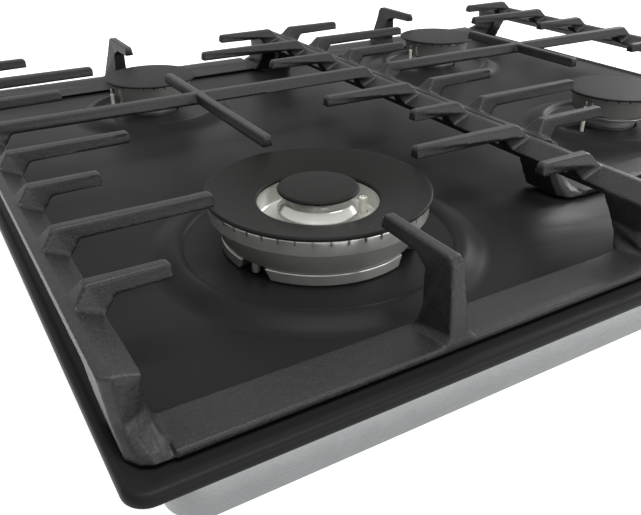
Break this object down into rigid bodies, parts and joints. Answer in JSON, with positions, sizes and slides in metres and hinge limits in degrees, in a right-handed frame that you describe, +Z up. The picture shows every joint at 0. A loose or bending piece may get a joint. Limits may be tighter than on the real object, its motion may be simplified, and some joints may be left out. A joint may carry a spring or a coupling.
{
  "type": "gas cooktop",
  "caption": "Built-in gas cooktop: shallow black enamelled tray over a drop-in casing, round burners with caps, and lift-off cast-iron pan grates.",
  "frame": {"origin": "middle of the casing floor, at its underside", "axes": "+X to the right along the front edge, +Y to the back wall, +Z up"},
  "size_m": [0.6, 0.52, 0.0878],
  "materials": {
    "black_enamel": "satin vitreous enamel on pressed steel",
    "enamelled_cast_iron": "matt enamel with a fine grain",
    "cap_enamel": "matt enamel",
    "die_cast_aluminium": "bright cast",
    "galvanised_steel": "galvanised sheet",
    "machined_brass": "turned",
    "glazed_ceramic": "glazed",
    "bright_steel": "turned",
    "foam_rubber": "closed-cell foam",
    "silicone_rubber": "matt",
    "black_plastic": "fine satin",
    "white_plastic": "moulded"
  },
  "bodies": {
    "cooktop": {"top_plate": "black_enamel", "burner_box": "galvanised_steel", "worktop_seal": "foam_rubber", "wok_cup": "die_cast_aluminium", "wok_gas_pipe": "die_cast_aluminium", "wok_electrode": "glazed_ceramic", "wok_flame_sensor": "bright_steel", "rear_left_cup": "die_cast_aluminium", "rear_left_gas_pipe": "die_cast_aluminium", "rear_left_electrode": "glazed_ceramic", "rear_left_flame_sensor": "bright_steel", "rear_right_cup": "die_cast_aluminium", "rear_right_gas_pipe": "die_cast_aluminium", "rear_right_electrode": "glazed_ceramic", "rear_right_flame_sensor": "bright_steel", "front_right_cup": "die_cast_aluminium", "front_right_gas_pipe": "die_cast_aluminium", "front_right_electrode": "glazed_ceramic", "front_right_flame_sensor": "bright_steel", "gas_tap_1": "machined_brass", "gas_tap_2": "machined_brass", "gas_tap_3": "machined_brass", "gas_tap_4": "machined_brass", "gas_rail": "galvanised_steel", "gas_inlet": "machined_brass", "spark_generator": "white_plastic", "mains_gland": "black_plastic"},
    "left_grate": {"left_grate": "enamelled_cast_iron", "left_grate_foot_1": "silicone_rubber", "left_grate_foot_2": "silicone_rubber", "left_grate_foot_3": "silicone_rubber", "left_grate_foot_4": "silicone_rubber"},
    "right_grate": {"right_grate": "enamelled_cast_iron", "right_grate_foot_1": "silicone_rubber", "right_grate_foot_2": "silicone_rubber", "right_grate_foot_3": "silicone_rubber", "right_grate_foot_4": "silicone_rubber"},
    "wok_ring_cap": {"wok_ring_cap": "cap_enamel"},
    "wok_inner_cap": {"wok_inner_cap": "cap_enamel"},
    "rear_left_cap": {"rear_left_cap": "cap_enamel"},
    "rear_right_cap": {"rear_right_cap": "cap_enamel"},
    "front_right_cap": {"front_right_cap": "cap_enamel"},
    "wok_crown": {"wok_crown": "die_cast_aluminium"},
    "rear_left_crown": {"rear_left_crown": "die_cast_aluminium"},
    "rear_right_crown": {"rear_right_crown": "die_cast_aluminium"},
    "front_right_crown": {"front_right_crown": "die_cast_aluminium"},
    "tap_plug_1": {"tap_plug_1": "machined_brass"},
    "knob_1": {"knob_1": "black_plastic", "tap_spindle_1": "bright_steel"},
    "tap_plug_2": {"tap_plug_2": "machined_brass"},
    "knob_2": {"knob_2": "black_plastic", "tap_spindle_2": "bright_steel"},
    "tap_plug_3": {"tap_plug_3": "machined_brass"},
    "knob_3": {"knob_3": "black_plastic", "tap_spindle_3": "bright_steel"},
    "tap_plug_4": {"tap_plug_4": "machined_brass"},
    "knob_4": {"knob_4": "black_plastic", "tap_spindle_4": "bright_steel"}
  },
  "joints": [
    {"name": "left_grate_lift", "type": "slide", "parent": "cooktop", "child": "left_grate", "axis": [0, 0, 1], "range_m": [0, 0.12]},
    {"name": "right_grate_lift", "type": "slide", "parent": "cooktop", "child": "right_grate", "axis": [0, 0, 1], "range_m": [0, 0.12]},
    {"name": "wok_ring_cap_lift", "type": "slide", "parent": "cooktop", "child": "wok_ring_cap", "axis": [0, 0, 1], "range_m": [0, 0.0725]},
    {"name": "wok_inner_cap_lift", "type": "slide", "parent": "cooktop", "child": "wok_inner_cap", "axis": [0, 0, 1], "range_m": [0, 0.0845]},
    {"name": "rear_left_cap_lift", "type": "slide", "parent": "cooktop", "child": "rear_left_cap", "axis": [0, 0, 1], "range_m": [0, 0.0725]},
    {"name": "rear_right_cap_lift", "type": "slide", "parent": "cooktop", "child": "rear_right_cap", "axis": [0, 0, 1], "range_m": [0, 0.0725]},
    {"name": "front_right_cap_lift", "type": "slide", "parent": "cooktop", "child": "front_right_cap", "axis": [0, 0, 1], "range_m": [0, 0.0725]},
    {"name": "wok_crown_lift", "type": "slide", "parent": "cooktop", "child": "wok_crown", "axis": [0, 0, 1], "range_m": [0, 0.0365]},
    {"name": "rear_left_crown_lift", "type": "slide", "parent": "cooktop", "child": "rear_left_crown", "axis": [0, 0, 1], "range_m": [0, 0.0365]},
    {"name": "rear_right_crown_lift", "type": "slide", "parent": "cooktop", "child": "rear_right_crown", "axis": [0, 0, 1], "range_m": [0, 0.0365]},
    {"name": "front_right_crown_lift", "type": "slide", "parent": "cooktop", "child": "front_right_crown", "axis": [0, 0, 1], "range_m": [0, 0.0365]},
    {"name": "tap_1_turn", "type": "hinge", "parent": "cooktop", "child": "tap_plug_1", "pos_m": [0.06, -0.212, 0.0396], "axis": [0, 0, 1], "range_deg": [0, 210]},
    {"name": "knob_1_push", "type": "slide", "parent": "tap_plug_1", "child": "knob_1", "axis": [0, 0, 1], "range_m": [-0.004, 0], "stiffness_N_per_m": 600, "springref_m": 0.003},
    {"name": "tap_2_turn", "type": "hinge", "parent": "cooktop", "child": "tap_plug_2", "pos_m": [0.12, -0.212, 0.0396], "axis": [0, 0, 1], "range_deg": [0, 210]},
    {"name": "knob_2_push", "type": "slide", "parent": "tap_plug_2", "child": "knob_2", "axis": [0, 0, 1], "range_m": [-0.004, 0], "stiffness_N_per_m": 600, "springref_m": 0.003},
    {"name": "tap_3_turn", "type": "hinge", "parent": "cooktop", "child": "tap_plug_3", "pos_m": [0.18, -0.212, 0.0396], "axis": [0, 0, 1], "range_deg": [0, 210]},
    {"name": "knob_3_push", "type": "slide", "parent": "tap_plug_3", "child": "knob_3", "axis": [0, 0, 1], "range_m": [-0.004, 0], "stiffness_N_per_m": 600, "springref_m": 0.003},
    {"name": "tap_4_turn", "type": "hinge", "parent": "cooktop", "child": "tap_plug_4", "pos_m": [0.24, -0.212, 0.0396], "axis": [0, 0, 1], "range_deg": [0, 210]},
    {"name": "knob_4_push", "type": "slide", "parent": "tap_plug_4", "child": "knob_4", "axis": [0, 0, 1], "range_m": [-0.004, 0], "stiffness_N_per_m": 600, "springref_m": 0.003}
  ],
  "couplings": [
    {"joint": "wok_ring_cap_lift", "follows": "left_grate_lift", "ratio": 0.6},
    {"joint": "wok_inner_cap_lift", "follows": "left_grate_lift", "ratio": 0.7},
    {"joint": "rear_left_cap_lift", "follows": "left_grate_lift", "ratio": 0.6},
    {"joint": "rear_right_cap_lift", "follows": "right_grate_lift", "ratio": 0.6},
    {"joint": "front_right_cap_lift", "follows": "right_grate_lift", "ratio": 0.6},
    {"joint": "wok_crown_lift", "follows": "left_grate_lift", "ratio": 0.3},
    {"joint": "rear_left_crown_lift", "follows": "left_grate_lift", "ratio": 0.3},
    {"joint": "rear_right_crown_lift", "follows": "right_grate_lift", "ratio": 0.3},
    {"joint": "front_right_crown_lift", "follows": "right_grate_lift", "ratio": 0.3}
  ]
}
